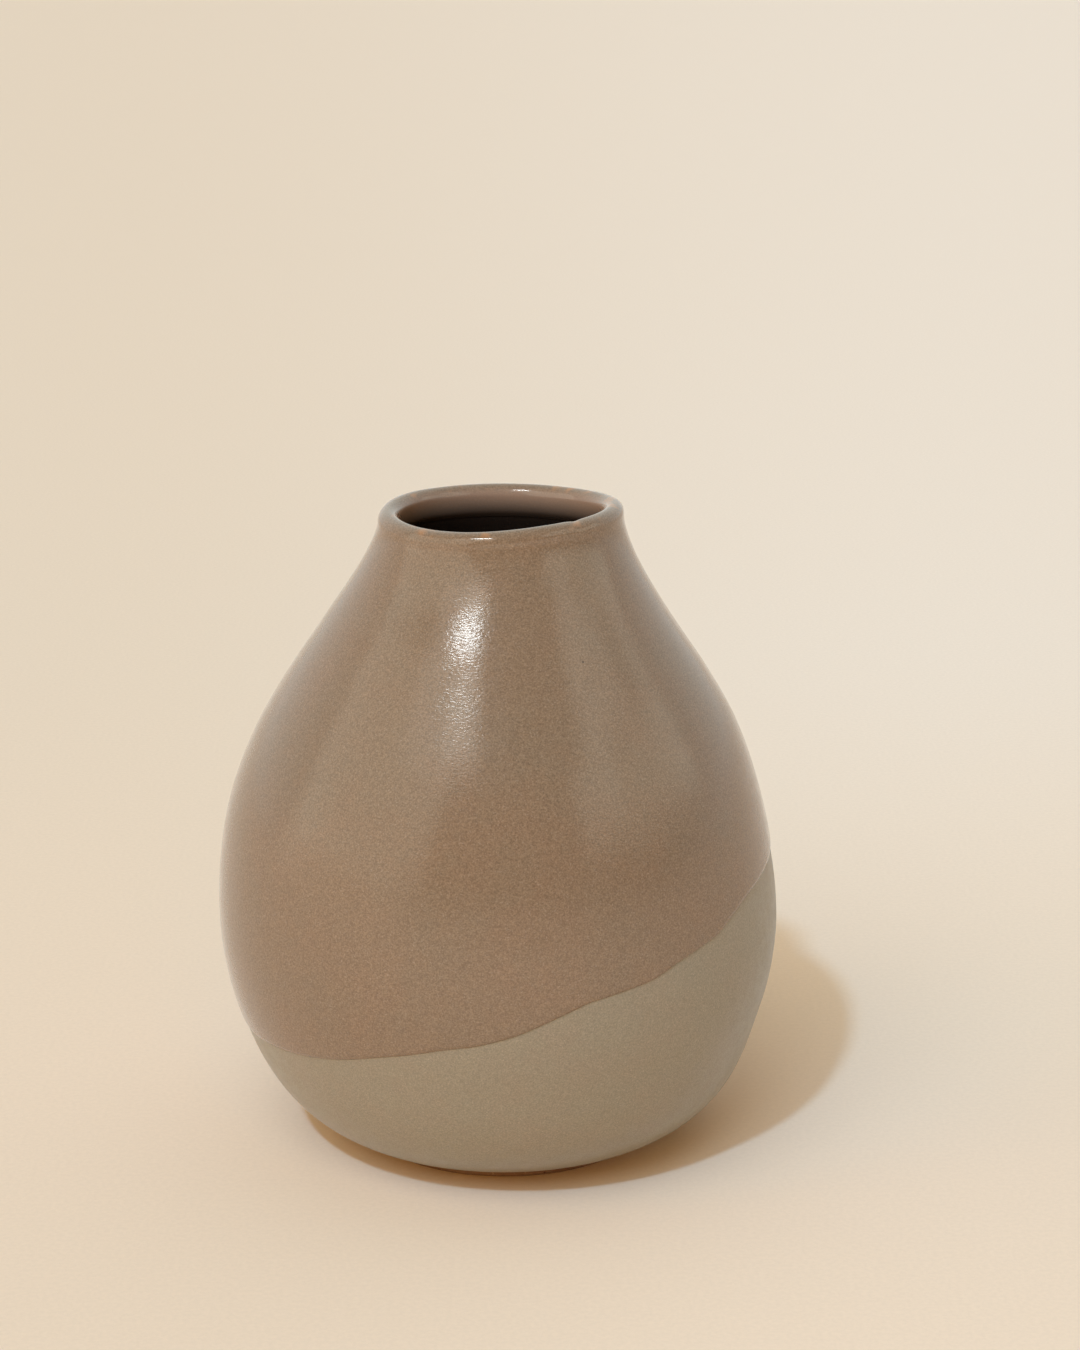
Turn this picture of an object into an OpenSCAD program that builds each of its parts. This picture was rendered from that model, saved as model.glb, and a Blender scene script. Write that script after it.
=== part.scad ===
// Bud vase: a small wheel-thrown stoneware pot with a low round belly and a collared
// neck. It stands on a turned foot ring that is left bare. A liner glaze fills the
// inside, a sage glaze covers the outside down to the foot, and a second, warmer glaze
// lies over that one from a slanted dip line up over the rim.
// The pot stands on z = 0, round the z axis. All lengths are in millimetres.

/* [Pot] */
// Height of the fired clay, from the foot to the top of the rim
pot_h = 108.6; // [98:0.2:124]
// Diameter of the clay at the belly, its widest place
belly_d = 94; // [84:0.5:106]
// Height of the belly above the table
belly_z = 41.5; // [36:0.5:46]
// How far below the belly the wall's curve is still pulled upright
belly_drop = 12.5; // [8:0.5:16]
// How far above the belly the shoulder's slope, carried on, would meet the belly's width
shoulder_rise = 22; // [18:0.5:26]

/* [Neck and rim] */
// Outside diameter of the clay at the rim
rim_d = 39.2; // [34:0.2:46]
// Thickness of the clay at its rounded rim
rim_t = 2.3; // [1.8:0.1:3.2]
// How far below the rim's rounding the shoulder's slope, carried on, would meet the neck
neck_h = 4.2; // [2.5:0.1:8]
// Length of the straight throat inside, below the rim's rounding
throat_h = 2.5; // [1.5:0.1:4]

/* [Walls] */
// Thickness of the clay wall at the belly
wall_belly = 4; // [3:0.1:5.5]
// Thickness of the clay wall where the shoulder turns into the neck
wall_shoulder = 3.8; // [3:0.1:5]
// Thickness of the floor above the recess in the foot
floor_t = 5; // [3.5:0.1:8]
// Diameter of the flat part of the floor inside
floor_d = 30; // [20:1:40]

/* [Foot] */
// Outside diameter of the foot ring
foot_d = 50; // [42:0.5:58]
// Height of the foot ring outside, up to where the belly leaves it
foot_h = 2; // [1.5:0.1:3.5]
// Width of the foot ring
foot_w = 4.5; // [3:0.1:7]
// Bevel on both edges of the foot ring
foot_bevel = 0.6; // [0.3:0.1:1]
// Depth of the recess turned inside the foot ring
recess_h = 1.5; // [1:0.1:2.5]
// How much higher the recess is at its middle than at the ring
recess_dish = 0.4; // [0.1:0.1:1]
// Angle in degrees at which the belly leaves the foot, above level
foot_rise = 12; // [6:1:20]

/* [Glazes] */
// Thickness of the sage glaze outside
base_coat = 0.35; // [0.2:0.05:0.5]
// Thickness of the liner glaze inside
liner_coat = 0.35; // [0.2:0.05:0.5]
// Thickness of the second glaze, over the sage glaze and the rim
dip_coat = 0.3; // [0.2:0.05:0.5]
// Distance over which the sage glaze thins out to its edge above the foot
coat_edge = 1.6; // [0.8:0.1:2.4]
// Height of the dip line's plane on the pot's axis
dip_z = 37.6; // [24:0.2:60]
// Slant of the dip line's plane in degrees
dip_tilt = 17.8; // [0:0.2:28]
// Compass direction of the dip line's high side in degrees, from +X towards +Y
dip_turn = 16; // [-180:1:180]

/* [Hidden] */
$fn = 120;

clay_tone = [0.47, 0.39, 0.31];
liner_tone = [0.22, 0.18, 0.15];
sage_tone = [0.56, 0.51, 0.45];
taupe_tone = [0.51, 0.43, 0.34];

// Steps along the spans of the profile
foot_steps = 22;
wall_steps = 22;
neck_steps = 16;
rim_steps = 8;
edge_steps = 5;

// Where the slope turns from the belly's curve to the neck's, along the slope's length
turn_share = 0.566;
// How far the belly's curve and the neck's curve follow the slope before that turn
belly_follow_share = 0.717;
neck_follow_share = 0.571;

belly_r = belly_d / 2;
rim_r = rim_d / 2;
rim_z = pot_h - rim_t / 2;
foot_r = foot_d / 2;
foot_in_r = foot_r - foot_w;
floor_r = floor_d / 2;
floor_z = recess_h + recess_dish + floor_t;
throat_r = rim_r - rim_t;
throat_z = rim_z - throat_h;
belly_in_r = belly_r - wall_belly;

// The slope of the shoulder runs from slope_low on the belly's width to slope_high on
// the neck's. The inner slope is the same line, moved in by the wall.
slope_low = [belly_r, belly_z + shoulder_rise];
slope_high = [rim_r, rim_z - neck_h];
slope_run = slope_high - slope_low;
slope_tan = -slope_run[1] / slope_run[0];
slope_drop = wall_shoulder * norm(slope_run) / -slope_run[0];
function inner_slope(r) = [r, slope_low[1] + (belly_r - r) * slope_tan - slope_drop];

function mix(a, b, share) = a + (b - a) * share;
function side_of(v) = [v[1], -v[0]] / norm(v);

// A cubic curve's point and its outward side at t. The profile runs up the outside, over
// the rim and down the inside, so the side is always the one away from the clay.
function bend(p, t) =
    let (u = 1 - t)
    u * u * u * p[0] + 3 * u * u * t * p[1] + 3 * u * t * t * p[2] + t * t * t * p[3];
function bend_side(p, t) =
    let (u = 1 - t)
    side_of(u * u * (p[1] - p[0]) + 2 * u * t * (p[2] - p[1]) + t * t * (p[3] - p[2]));
function bend_at(p, t) = [bend(p, t), bend_side(p, t)];
function span(p, steps) = [for (i = [0 : steps - 1]) bend_at(p, i / steps)];

// Belly to shoulder, outside or inside
function upper_bend(low, high, z) =
    let (turn = mix(low, high, turn_share))
    [[low[0], z], low, mix(low, turn, belly_follow_share), turn];
// Foot or floor to belly. A cubic curve is bent at its end in proportion to how far its
// inner control point stands off, over the handle's length squared, so this one takes its
// stand-off from the curve above it and both bend alike where they meet at the belly.
function lower_bend(start, rise, p) =
    let (handle_ratio = belly_drop / (p[1][1] - p[0][1]))
    let (stand_off = (p[0][0] - p[2][0]) * handle_ratio * handle_ratio)
    let (reach = p[0][0] - stand_off - start[0])
    [start, start + reach * [1, tan(rise)], p[0] - [0, belly_drop], p[0]];
function neck_bend(low, high, end) =
    let (turn = mix(low, high, turn_share))
    [turn, mix(turn, high, neck_follow_share), high, end];
function back(p) = [p[3], p[2], p[1], p[0]];

out_upper = upper_bend(slope_low, slope_high, belly_z);
out_lower = lower_bend([foot_r, foot_h], foot_rise, out_upper);
out_neck = neck_bend(slope_low, slope_high, [rim_r, rim_z]);

in_low = inner_slope(belly_in_r);
in_high = inner_slope(throat_r);
in_upper = upper_bend(in_low, in_high, belly_z);
in_lower = lower_bend([floor_r, floor_z], 0, in_upper);
in_neck = neck_bend(in_low, in_high, [throat_r, throat_z]);

rim_centre = [rim_r - rim_t / 2, rim_z];
function rim_at(angle) =
    let (side = [cos(angle), sin(angle)])
    [rim_centre + rim_t / 2 * side, side];
function rim_arc(from, to, steps) =
    [for (i = [0 : steps - 1]) rim_at(from + (to - from) * i / steps)];

// The clay's whole skin in two paths of [point, side] that meet on the rim's crest. The
// first steps of the outside are short, so that the glaze can thin out there in a curve.
crest = rim_at(90);
outside = concat(
    [for (i = [0 : edge_steps - 1]) bend_at(out_lower, i / edge_steps / foot_steps)],
    [for (i = [1 : foot_steps - 1]) bend_at(out_lower, i / foot_steps)],
    span(out_upper, wall_steps),
    span(out_neck, neck_steps),
    rim_arc(0, 90, rim_steps),
    [crest]);
throat = concat([crest], rim_arc(90, 180, rim_steps), [rim_at(180)]);
inside = concat(
    span(back(in_neck), neck_steps),
    span(back(in_upper), wall_steps),
    span(back(in_lower), foot_steps),
    [[[floor_r, floor_z], [0, 1]], [[0, floor_z], [0, 1]]]);

function points(path) = [for (e = path) e[0]];
function moved(path, coat) = [for (e = path) e[0] + coat * e[1]];
function reversed(list) = [for (i = [len(list) - 1 : -1 : 0]) list[i]];
function edge_coat(e) =
    let (way = min(norm(e[0] - outside[0][0]) / coat_edge, 1))
    base_coat * sqrt(1 - (1 - way) * (1 - way));
function under_dip() = [for (e = outside) e[0] + edge_coat(e) * e[1]];

// Fired clay: floor, wall and rim, on a bevelled foot ring round a shallow recess
module clay_body() {
    foot = [
        [0, recess_h + recess_dish],
        [foot_in_r, recess_h],
        [foot_in_r, foot_bevel],
        [foot_in_r + foot_bevel, 0],
        [foot_r - foot_bevel, 0],
        [foot_r, foot_bevel],
    ];
    color(clay_tone)
        rotate_extrude()
            polygon(concat(points(outside), points(throat), points(inside), foot));
}

// Liner glaze: one coat from the rim's crest down over the whole inside
module liner_glaze() {
    path = concat(throat, inside);
    color(liner_tone)
        rotate_extrude()
            polygon(concat(points(path), reversed(moved(path, liner_coat))));
}

// Sage glaze: the coat on the outside, thinning out above the bare foot ring
module base_glaze() {
    color(sage_tone)
        rotate_extrude()
            polygon(concat(points(outside), reversed(under_dip())));
}

// Everything above the slanted plane of the dip line
module above_dip() {
    reach = pot_h + belly_d;
    translate([0, 0, dip_z])
        rotate([0, 0, dip_turn])
            rotate([0, -dip_tilt, 0])
                translate([-reach, -reach, 0])
                    cube([2 * reach, 2 * reach, reach]);
}

// Second glaze: over the sage glaze above the dip line, over the rim, and down the
// throat, where it thins out to nothing on the liner glaze just below
module dip_glaze() {
    over = concat(throat, [inside[0]]);
    tip = [inside[1][0] + liner_coat * inside[1][1]];
    under = concat(under_dip(), moved(over, liner_coat), tip);
    top = concat(
        [for (i = [0 : len(outside) - 1]) under_dip()[i] + dip_coat * outside[i][1]],
        moved(over, liner_coat + dip_coat));
    color(taupe_tone)
        intersection() {
            rotate_extrude()
                polygon(concat(under, reversed(top)));
            above_dip();
        }
}

clay_body();
liner_glaze();
base_glaze();
dip_glaze();
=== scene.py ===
"""The looks of a small wheel-thrown bud vase, and the plain studio that it stands in.

The vase is fired clay with three coats of glaze: a liner inside, a sage coat outside and
a taupe coat dipped over that one, from a slanted line up over the rim. Each is a closed
mesh turned from the same profile, and strays from the true turned form as the thrown pot
does. All sizes are in metres, with +Z up and the middle of the foot at the origin.
"""

import logging
from dataclasses import dataclass, field, replace
from enum import Enum
from math import cos, pi, radians, sin, tan

import bpy
import numpy as np
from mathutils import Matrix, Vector


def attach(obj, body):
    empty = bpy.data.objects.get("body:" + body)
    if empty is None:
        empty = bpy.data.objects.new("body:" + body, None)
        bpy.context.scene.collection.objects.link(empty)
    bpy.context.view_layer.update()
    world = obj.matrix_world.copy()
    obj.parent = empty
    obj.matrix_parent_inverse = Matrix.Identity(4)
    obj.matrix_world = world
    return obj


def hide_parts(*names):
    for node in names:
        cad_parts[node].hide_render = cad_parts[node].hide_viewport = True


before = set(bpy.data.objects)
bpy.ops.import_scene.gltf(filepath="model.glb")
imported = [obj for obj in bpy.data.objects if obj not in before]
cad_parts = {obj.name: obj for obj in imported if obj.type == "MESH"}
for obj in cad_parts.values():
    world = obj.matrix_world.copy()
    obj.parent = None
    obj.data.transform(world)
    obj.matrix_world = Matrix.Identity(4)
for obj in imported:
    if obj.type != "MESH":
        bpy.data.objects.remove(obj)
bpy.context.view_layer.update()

MM = 0.001
ROUND = 2 * pi
FULL_TURN = 360
COLUMNS = 400
# Places round a point at which a curve through given knots is read to round its corners
BLUR_READS = np.linspace(-2, 2, 17)
LOG = logging.getLogger("bud_vase")

Colour = tuple[float, float, float]
Knots = tuple[tuple[float, float], ...]
Span = tuple[float, float]
Socket = bpy.types.NodeSocket


class Slot(Enum):
    """The record's material slots."""

    CLAY = "bare_clay"
    LINER = "liner_glaze"
    SAGE = "sage_glaze"
    TAUPE = "taupe_glaze"


class Way(Enum):
    """Distances that a mesh keeps at its points, for its finish to read."""

    EDGE = "edge_way"
    CREST = "crest_way"


def mixed(a: np.ndarray, b: np.ndarray, share: float) -> np.ndarray:
    """Returns the point that lies a share of the way from a to b."""
    return a + (b - a) * share


def smooth_step(low: float, high: float, value: np.ndarray) -> np.ndarray:
    """Returns 0 below low, 1 above high, and a soft rise between them."""
    t = np.clip((value - low) / (high - low), 0, 1)
    return t * t * (3 - 2 * t)


def hand_curve(knots: Knots, at: np.ndarray, blur: float, period: float | None = None) -> np.ndarray:
    """Reads a curve drawn through its given knots, with its corners rounded.

    Args:
        knots: places along the curve, each with its height there.
        at: where to read the curve.
        blur: how far the rounding of a corner reaches.
        period: where the curve starts again, if it goes round.

    Returns:
        The curve's height at each place.
    """
    places, heights = zip(*knots)
    weights = np.exp(-BLUR_READS ** 2)
    reads = [np.interp(at + blur * offset, places, heights, period=period) for offset in BLUR_READS]
    return np.tensordot(weights / weights.sum(), np.array(reads), 1)


@dataclass(frozen=True)
class Path:
    """A stretch of the pot's profile.

    Attributes:
        points: radius and height of each point.
        sides: the outward side at each point, one unit long.
    """

    points: np.ndarray
    sides: np.ndarray

    @classmethod
    def through(cls, points: np.ndarray) -> "Path":
        """Makes a path through points, with the outward side on its right."""
        run = np.gradient(points, axis=0)
        return cls(points, np.column_stack([run[:, 1], -run[:, 0]]) / np.linalg.norm(run, axis=1)[:, None])

    @classmethod
    def joined(cls, *paths: "Path") -> "Path":
        """Joins paths that each start where the one before ends, and keeps each shared point once."""
        rows = [(path.points[bool(i):], path.sides[bool(i):]) for i, path in enumerate(paths)]
        return cls(*(np.concatenate(part) for part in zip(*rows)))

    def ways(self) -> np.ndarray:
        """Returns how far along the path each point lies."""
        steps = np.linalg.norm(np.diff(self.points, axis=0), axis=1)
        return np.concatenate([[0], np.cumsum(steps)])

    def length(self) -> float:
        """Returns the path's length."""
        return float(self.ways()[-1])

    def raised(self, at: np.ndarray, coat: np.ndarray | float) -> np.ndarray:
        """Finds points on a coat over the path, at places given by how far along the path they lie."""
        x, z, side_x, side_z = (np.interp(at, self.ways(), row) for row in (*self.points.T, *self.sides.T))
        return np.stack([x + coat * side_x, z + coat * side_z], axis=-1)


@dataclass(frozen=True)
class ThrownForm:
    """The pot's true turned form, with the names and sizes of the solid pot's source."""

    pot_h: float = 108.6 * MM
    belly_d: float = 94 * MM
    belly_z: float = 41.5 * MM
    belly_drop: float = 12.5 * MM
    shoulder_rise: float = 22 * MM
    rim_d: float = 39.2 * MM
    rim_t: float = 2.3 * MM
    neck_h: float = 4.2 * MM
    throat_h: float = 2.5 * MM
    wall_belly: float = 4 * MM
    wall_shoulder: float = 3.8 * MM
    floor_t: float = 5 * MM
    floor_d: float = 30 * MM
    foot_d: float = 50 * MM
    foot_h: float = 2 * MM
    foot_w: float = 4.5 * MM
    foot_bevel: float = 0.6 * MM
    recess_h: float = 1.5 * MM
    recess_dish: float = 0.4 * MM
    foot_rise: float = radians(12)
    turn_share: float = 0.566
    belly_follow_share: float = 0.717
    neck_follow_share: float = 0.571
    bend_steps: int = 240
    rim_steps: int = 60

    @property
    def rim_r(self) -> float:
        """Outside radius of the clay at the rim."""
        return self.rim_d / 2

    @property
    def rim_z(self) -> float:
        """Height of the middle of the rim's rounding."""
        return self.pot_h - self.rim_t / 2

    @property
    def throat_r(self) -> float:
        """Inside radius of the clay at the rim."""
        return self.rim_r - self.rim_t

    @property
    def floor_z(self) -> float:
        """Height of the floor inside."""
        return self.recess_h + self.recess_dish + self.floor_t

    def slope(self) -> tuple[np.ndarray, np.ndarray]:
        """Returns the shoulder's slope outside, from the belly's width to the neck's."""
        low = np.array([self.belly_d / 2, self.belly_z + self.shoulder_rise])
        return low, np.array([self.rim_r, self.rim_z - self.neck_h])

    def inner_slope(self) -> tuple[np.ndarray, np.ndarray]:
        """Finds the same slope moved in by the wall.

        Returns:
            Its low end and its high end.
        """
        low, high = self.slope()
        run = high - low
        drop = self.wall_shoulder * np.linalg.norm(run) / -run[0]
        belly_in = low[0] - self.wall_belly
        radii = np.array([belly_in, self.throat_r])
        heights = low[1] + (low[0] - radii) * run[1] / -run[0] - drop
        return np.array([radii[0], heights[0]]), np.array([radii[1], heights[1]])

    def bend(self, handles: np.ndarray) -> Path:
        """Draws a cubic curve.

        Args:
            handles: its four control points.

        Returns:
            The curve as a path.
        """
        t = np.linspace(0, 1, self.bend_steps)[:, None]
        u = 1 - t
        points = u ** 3 * handles[0] + 3 * u * u * t * handles[1]
        points = points + 3 * u * t * t * handles[2] + t ** 3 * handles[3]
        return Path.through(points)

    def upper_handles(self, low: np.ndarray, high: np.ndarray) -> np.ndarray:
        """Returns the control points from belly to shoulder, for a slope from low to high."""
        turn = mixed(low, high, self.turn_share)
        return np.array([[low[0], self.belly_z], low, mixed(low, turn, self.belly_follow_share), turn])

    def lower_handles(self, start: np.ndarray, rise: float, upper: np.ndarray) -> np.ndarray:
        """Finds the control points from foot or floor to belly, bent alike where they meet.

        Args:
            start: where the curve leaves the foot or the floor.
            rise: its angle there, above level.
            upper: the control points of the curve above it.

        Returns:
            The four control points.
        """
        ratio = self.belly_drop / (upper[1][1] - upper[0][1])
        stand_off = (upper[0][0] - upper[2][0]) * ratio * ratio
        reach = upper[0][0] - stand_off - start[0]
        drop = np.array([0, self.belly_drop])
        return np.array([start, start + reach * np.array([1, tan(rise)]), upper[0] - drop, upper[0]])

    def neck_handles(self, low: np.ndarray, high: np.ndarray, end: np.ndarray) -> np.ndarray:
        """Returns the control points from shoulder to rim, for a slope from low to high."""
        turn = mixed(low, high, self.turn_share)
        return np.array([turn, mixed(turn, high, self.neck_follow_share), high, end])

    def wall(self, slope: tuple[np.ndarray, np.ndarray], start: np.ndarray, rise: float,
             end: np.ndarray) -> np.ndarray:
        """Returns the control points of the three curves up one side of the wall."""
        upper = self.upper_handles(*slope)
        return np.array([self.lower_handles(start, rise, upper), upper, self.neck_handles(*slope, end)])

    def rim_arc(self, start: float, end: float) -> Path:
        """Draws part of the rim's rounding.

        Args:
            start: angle at its start, from the outside over the crest.
            end: angle at its end.

        Returns:
            The arc as a path.
        """
        turns = np.linspace(start, end, self.rim_steps)
        sides = np.column_stack([np.cos(turns), np.sin(turns)])
        centre = np.array([self.rim_r - self.rim_t / 2, self.rim_z])
        return Path(centre + self.rim_t / 2 * sides, sides)

    def outside(self) -> Path:
        """Draws the outside of the clay.

        Returns:
            The path from the foot up to the rim's crest.
        """
        foot = np.array([self.foot_d / 2, self.foot_h])
        wall = self.wall(self.slope(), foot, self.foot_rise, np.array([self.rim_r, self.rim_z]))
        return Path.joined(*(self.bend(handles) for handles in wall), self.rim_arc(0, pi / 2))

    def inside(self) -> Path:
        """Draws the inside of the clay.

        Returns:
            The path from the rim's crest down to the middle of the floor.
        """
        throat = np.array([self.throat_r, self.rim_z - self.throat_h])
        floor = np.array([self.floor_d / 2, self.floor_z])
        wall = self.wall(self.inner_slope(), floor, 0, throat)
        return Path.joined(
            self.rim_arc(pi / 2, pi),
            Path.through(np.linspace([self.throat_r, self.rim_z], throat, self.rim_steps)),
            *(self.bend(handles[::-1]) for handles in wall[::-1]),
            Path.through(np.linspace(floor, [0, self.floor_z], self.rim_steps)),
        )


@dataclass(frozen=True)
class Hand:
    """How the thrown pot strays from the true turned form.

    Heights and distances are in millimetres and directions in degrees in the three curves.

    Attributes:
        lean: height, and how far the pot leans to the right there.
        lean_blur: how far the corners of that curve are rounded.
        rim_rise: direction, and how far the rim stands above its true height.
        rim_blur: how far the corners of that curve are rounded.
        rim_reach: how far below the rim its rise fades out.
        nick_at: direction of the small nick in the rim, in degrees.
        nick_width: how wide the nick is, in degrees.
        nick_depth: how deep the nick is.
        ring_pitch: height of one throwing ring.
        ring_depth: depth of the throwing rings.
        girth: height, and how much wider than its true form the pot is there, on each side.
        girth_blur: how far the corners of that curve are rounded.
        swell_z: height of the soft swell that the fingers left at the front of the shoulder.
        swell_w: how far above and below that height the swell reaches.
        swell: how far it stands out.
        swell_turn: direction of its middle, in degrees.
        swell_reach: how far to either side it fades out, in degrees.
    """

    lean: Knots = ((-20, 1.25), (0, 1.25), (12, 1.0), (16, 0.66), (20, 0.44), (28, 0.36), (38, 0.24),
                   (46, -0.05), (53, -0.32), (61, -0.36), (68, -0.15), (74, 0.05), (84, 0.13), (92, 0.13),
                   (102, 0.35), (108, 0.75), (130, 0.75))
    lean_blur: float = 4
    rim_rise: Knots = ((-154, -0.5), (-140, -0.62), (-124, -0.6), (-107, -0.4), (-94, -0.1), (-82, 0.22),
                       (-69, 0.55), (-56, 0.76), (-42, 0.85), (-28, 0.95), (-8, 1.0), (8, 0.95), (24, 0.62),
                       (39, 0.35), (58, 0.13), (80, 0.08), (122, 0.1), (140, 0.22), (158, 0.15), (178, -0.2))
    rim_blur: float = 4
    rim_reach: float = 19 * MM
    nick_at: float = -48.5
    nick_width: float = 4.0
    nick_depth: float = 0.2 * MM
    ring_pitch: float = 7.3 * MM
    ring_depth: float = 0.006 * MM
    girth: Knots = ((8, 0), (12, -0.05), (15, -0.2), (18, -0.27), (21, -0.36), (24, -0.3), (27, -0.08),
                    (31, 0.04), (37, 0.14), (44, -0.05), (51, -0.22), (58, -0.14), (66, -0.07), (73, 0.02),
                    (80, -0.17), (85, -0.2), (89, -0.15), (94, -0.08), (98, -0.06), (101, 0.02), (104, 0.12),
                    (108, 0.2))
    girth_blur: float = 1.5
    swell_z: float = 91 * MM
    swell_w: float = 5 * MM
    swell: float = 0.3 * MM
    swell_turn: float = -100
    swell_reach: float = 80

    def shape(self, points: np.ndarray, form: ThrownForm) -> np.ndarray:
        """Moves points of the true form to where the thrown pot has them.

        Args:
            points: points in space, in an array of any shape.
            form: the true form.

        Returns:
            The moved points.
        """
        x, y, z = points[..., 0], points[..., 1], points[..., 2]
        turn = np.degrees(np.arctan2(y, x))
        radius = np.hypot(x, y)
        rise = hand_curve(self.rim_rise, turn, self.rim_blur, FULL_TURN) * MM
        off_nick = (turn - self.nick_at) / self.nick_width
        nick = self.nick_depth * np.exp(-off_nick * off_nick)
        near_rim = smooth_step(form.rim_z - self.rim_reach, form.rim_z, z)
        at_rim = smooth_step(form.rim_z - 2 * form.throat_h, form.rim_z, z)
        wave = np.sin(ROUND * z / self.ring_pitch + np.radians(turn))
        ripple = self.ring_depth * wave
        ripple = ripple * smooth_step(0, form.rim_d, radius) * smooth_step(0, form.foot_d, z)
        off_swell = abs((turn - self.swell_turn + FULL_TURN / 2) % FULL_TURN - FULL_TURN / 2)
        facing = 1 - smooth_step(0, self.swell_reach, off_swell)
        swell = self.swell * facing * np.exp(-((z - self.swell_z) / self.swell_w) ** 2)
        girth = hand_curve(self.girth, z / MM, self.girth_blur) * MM
        wider = 1 + (ripple + swell + girth) / np.maximum(radius, form.rim_t)
        lean = hand_curve(self.lean, z / MM, self.lean_blur) * MM
        return np.stack([x * wider + lean, y * wider, z + rise * near_rim - nick * at_rim], axis=-1)


@dataclass(frozen=True)
class DipLine:
    """The slanted line down to which the pot was dipped.

    Attributes:
        height: height of the line's plane on the pot's axis.
        slope_x: how far the plane rises for each unit to the right.
        slope_y: how far the plane rises for each unit to the back.
        waver: direction in degrees, and how many millimetres the line lies above its plane.
        waver_blur: how far the corners of that curve are rounded, in degrees.
    """

    height: float = 37.55 * MM
    slope_x: float = 0.310
    slope_y: float = 0.088
    waver: Knots = ((-157, -0.5), (-148, -0.1), (-135, -0.1), (-124, 0.1), (-114, 0.5), (-100, 0.35),
                    (-94, -0.3), (-86, -0.4), (-79, 0.3), (-72, 0.8), (-66, 0.1), (-58, -0.8), (-51, -0.4),
                    (-40, -0.8), (-36, 0), (-29, 0.6), (-18, 0.25), (-9, -0.2), (12, 0.2), (38, -0.3),
                    (70, 0.4), (100, -0.3), (132, 0.3), (165, -0.2))
    waver_blur: float = 1.6

    def above(self, x: np.ndarray, y: np.ndarray, z: np.ndarray) -> np.ndarray:
        """Returns how far points lie above the dip line, straight up."""
        waver = hand_curve(self.waver, np.degrees(np.arctan2(y, x)), self.waver_blur, FULL_TURN) * MM
        return z - (self.height + self.slope_x * x + self.slope_y * y) - waver

    def ways(self, path: Path, turns: np.ndarray) -> np.ndarray:
        """Finds where the dip line crosses a path that is turned round the axis.

        Args:
            path: the pot's profile, from the foot up.
            turns: the directions to look in.

        Returns:
            How far along the path the line lies in each direction.
        """
        ways = path.ways()
        x = path.points[:, :1] * np.cos(turns)
        y = path.points[:, :1] * np.sin(turns)
        above = self.above(x, y, path.points[:, 1:])
        return np.array([np.interp(0, above[:, i], ways) for i in range(len(turns))])


def stations(*stretches: tuple[float, float, int]) -> np.ndarray:
    """Lays out places along a path, from the start, end and number of steps of each stretch."""
    parts = [np.linspace(start, end, steps, endpoint=False) for start, end, steps in stretches]
    return np.concatenate(parts + [[stretches[-1][1]]])


def turned(profile: np.ndarray, turns: np.ndarray) -> np.ndarray:
    """Turns a profile round the axis.

    Args:
        profile: rows of radius and height, with one column for all directions or one for each.
        turns: the directions.

    Returns:
        Rows of points, with a column for each direction.
    """
    if profile.ndim == 2:
        profile = profile[:, None, :]
    x = profile[..., 0] * np.cos(turns)
    y = profile[..., 0] * np.sin(turns)
    z = np.broadcast_to(profile[..., 1], x.shape)
    return np.stack([x, y, z], axis=-1)


@dataclass
class Shell:
    """A closed mesh of rings that lie one after the other round the axis.

    Attributes:
        name: the piece's name.
        rings: rows of points, with a column for each direction.
        poles: the points that close the first and the last ring, or none if the rings
            come back to the first.
        ways: distances to keep at the points of each ring.
    """

    name: str
    rings: np.ndarray
    poles: tuple[tuple[float, float, float], ...] = ()
    ways: dict[Way, np.ndarray] = field(default_factory=dict)

    def faces(self) -> list[tuple[int, ...]]:
        """Lays out the faces between the rings and round the poles.

        Returns:
            The corners of every face, with its outside to the front.
        """
        rows, columns = self.rings.shape[:2]
        last = rows - 1 if self.poles else rows
        grid = np.arange(rows * columns).reshape(rows, columns)
        low = grid[:last]
        high = np.roll(grid, -1, axis=0)[:last]
        quads = np.stack([low, np.roll(low, -1, 1), np.roll(high, -1, 1), high], axis=-1)
        faces = [tuple(quad) for quad in quads.reshape(-1, 4).tolist()]
        if self.poles:
            first, end = grid[0].tolist(), grid[-1].tolist()
            bottom, top = rows * columns, rows * columns + 1
            faces += [(bottom, first[(i + 1) % columns], first[i]) for i in range(columns)]
            faces += [(top, end[i], end[(i + 1) % columns]) for i in range(columns)]
        return faces

    def build(self) -> bpy.types.Object:
        """Makes the mesh and links it into the scene.

        Returns:
            The piece.
        """
        points = self.rings.reshape(-1, 3).tolist() + list(self.poles)
        mesh = bpy.data.meshes.new(self.name)
        mesh.from_pydata(points, [], self.faces())
        for way, values in self.ways.items():
            layer = mesh.attributes.new(way.value, "FLOAT", "POINT")
            spread = np.broadcast_to(values, self.rings.shape[:2]).ravel()
            layer.data.foreach_set("value", np.append(spread, np.zeros(len(self.poles))))
        mesh.shade_smooth()
        mesh.update()
        piece = bpy.data.objects.new(self.name, mesh)
        bpy.context.scene.collection.objects.link(piece)
        return piece


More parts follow.
